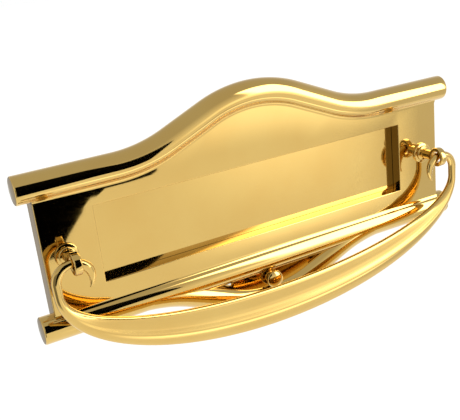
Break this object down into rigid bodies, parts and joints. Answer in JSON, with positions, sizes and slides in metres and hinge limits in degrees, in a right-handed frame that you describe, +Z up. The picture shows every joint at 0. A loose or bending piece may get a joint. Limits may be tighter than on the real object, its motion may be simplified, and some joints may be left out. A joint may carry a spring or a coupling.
{
  "type": "letter plate",
  "caption": "Front-door letter plate in polished brass with a sprung inward-opening flap and a hanging crescent knocker.",
  "frame": {"origin": "centre of the letter opening, on the plane where the plate's back meets the door", "axes": "+X right along the plate seen from outside the door, +Z up, +Y into the door"},
  "size_m": [0.275, 0.0906, 0.1392],
  "materials": {
    "plate_brass": "polished",
    "flap_brass": "polished",
    "knocker_brass": "polished",
    "post_brass": "polished",
    "nut_brass": "machined",
    "steel": "zinc plated",
    "spring_steel": "drawn wire"
  },
  "bodies": {
    "plate": {"front_plate": "plate_brass", "knocker_post_left": "post_brass", "knocker_post_right": "post_brass", "post_washers": "nut_brass", "post_nuts": "nut_brass", "striker_stud": "post_brass", "striker_washer": "nut_brass", "striker_nut": "nut_brass", "flap_rod": "steel", "rod_clips": "steel", "flap_spring_left": "spring_steel", "flap_spring_right": "spring_steel", "fixing_stud_left": "steel", "fixing_stud_right": "steel"},
    "flap": {"flap": "flap_brass"},
    "knocker": {"knocker_handle": "knocker_brass"}
  },
  "joints": [
    {"name": "flap_swing", "type": "hinge", "parent": "plate", "child": "flap", "pos_m": [0, -0.0029, 0.0273], "axis": [1, 0, 0], "range_deg": [0, 85], "stiffness_Nm_per_rad": 0.03, "springref_deg": -57.3, "deforming": ["flap_spring_left", "flap_spring_right"]},
    {"name": "knocker_swing", "type": "hinge", "parent": "plate", "child": "knocker", "pos_m": [0, -0.0267, -0.0005], "axis": [1, 0, 0], "range_deg": [-180, 6.5]}
  ]
}
